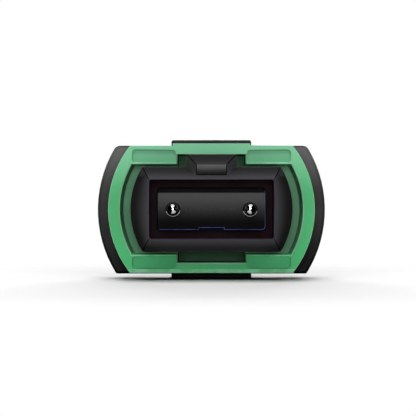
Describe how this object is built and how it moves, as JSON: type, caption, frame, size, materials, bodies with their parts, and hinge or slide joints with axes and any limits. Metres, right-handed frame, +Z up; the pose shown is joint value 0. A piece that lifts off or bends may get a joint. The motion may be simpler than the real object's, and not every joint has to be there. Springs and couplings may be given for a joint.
{
  "type": "mpo fibre connector",
  "caption": "Multi-fibre push-on plug: a sprung ferrule with guide pins in a keyed black housing, a green sliding coupling with a ribbed black grip, and a crimp sleeve.",
  "frame": {"origin": "middle of the ferrule's end face, half-way between the guide pins", "axes": "+Y runs back from the mating end to the cable inlet, +Z is up through the key, and +X is to the right when the mating end is looked at"},
  "size_m": [0.0142, 0.0353, 0.0088],
  "materials": {
    "housing_black": "satin moulded thermoplastic",
    "grip_black": "satin moulded thermoplastic",
    "coupling_green": "smooth moulded thermoplastic, mint green",
    "ferrule_resin": "glass-filled resin with a polished end",
    "keeper_resin": "moulded resin",
    "pin_steel": "ground and polished stainless steel",
    "spring_steel": "drawn stainless wire",
    "sleeve_nickel": "nickel plated, turned and annealed",
    "boot_rubber": "soft moulded rubber",
    "fibre_glass": "bare polished glass"
  },
  "bodies": {
    "housing": {"inner_housing": "housing_black", "spring_push": "housing_black", "crimp_sleeve": "sleeve_nickel"},
    "ferrule_group": {"ferrule": "ferrule_resin", "guide_pin_left": "pin_steel", "guide_pin_right": "pin_steel", "pin_keeper": "keeper_resin", "ferrule_boot": "boot_rubber", "fibre_01": "fibre_glass", "fibre_02": "fibre_glass", "fibre_03": "fibre_glass", "fibre_04": "fibre_glass", "fibre_05": "fibre_glass", "fibre_06": "fibre_glass", "fibre_07": "fibre_glass", "fibre_08": "fibre_glass", "fibre_09": "fibre_glass", "fibre_10": "fibre_glass", "fibre_11": "fibre_glass", "fibre_12": "fibre_glass", "main_spring": "spring_steel"},
    "coupling": {"coupling_sleeve": "coupling_green", "grip_shell": "grip_black", "coupling_spring_left": "spring_steel", "coupling_spring_right": "spring_steel"}
  },
  "joints": [
    {"name": "coupling_slide", "type": "slide", "parent": "housing", "child": "coupling", "axis": [0, 1, 0], "range_m": [0, 0.002], "stiffness_N_per_m": 1500, "deforming": ["coupling_spring_left", "coupling_spring_right"]},
    {"name": "ferrule_float", "type": "slide", "parent": "housing", "child": "ferrule_group", "axis": [0, 1, 0], "range_m": [0, 0.001], "stiffness_N_per_m": 3000, "deforming": ["main_spring"]}
  ]
}
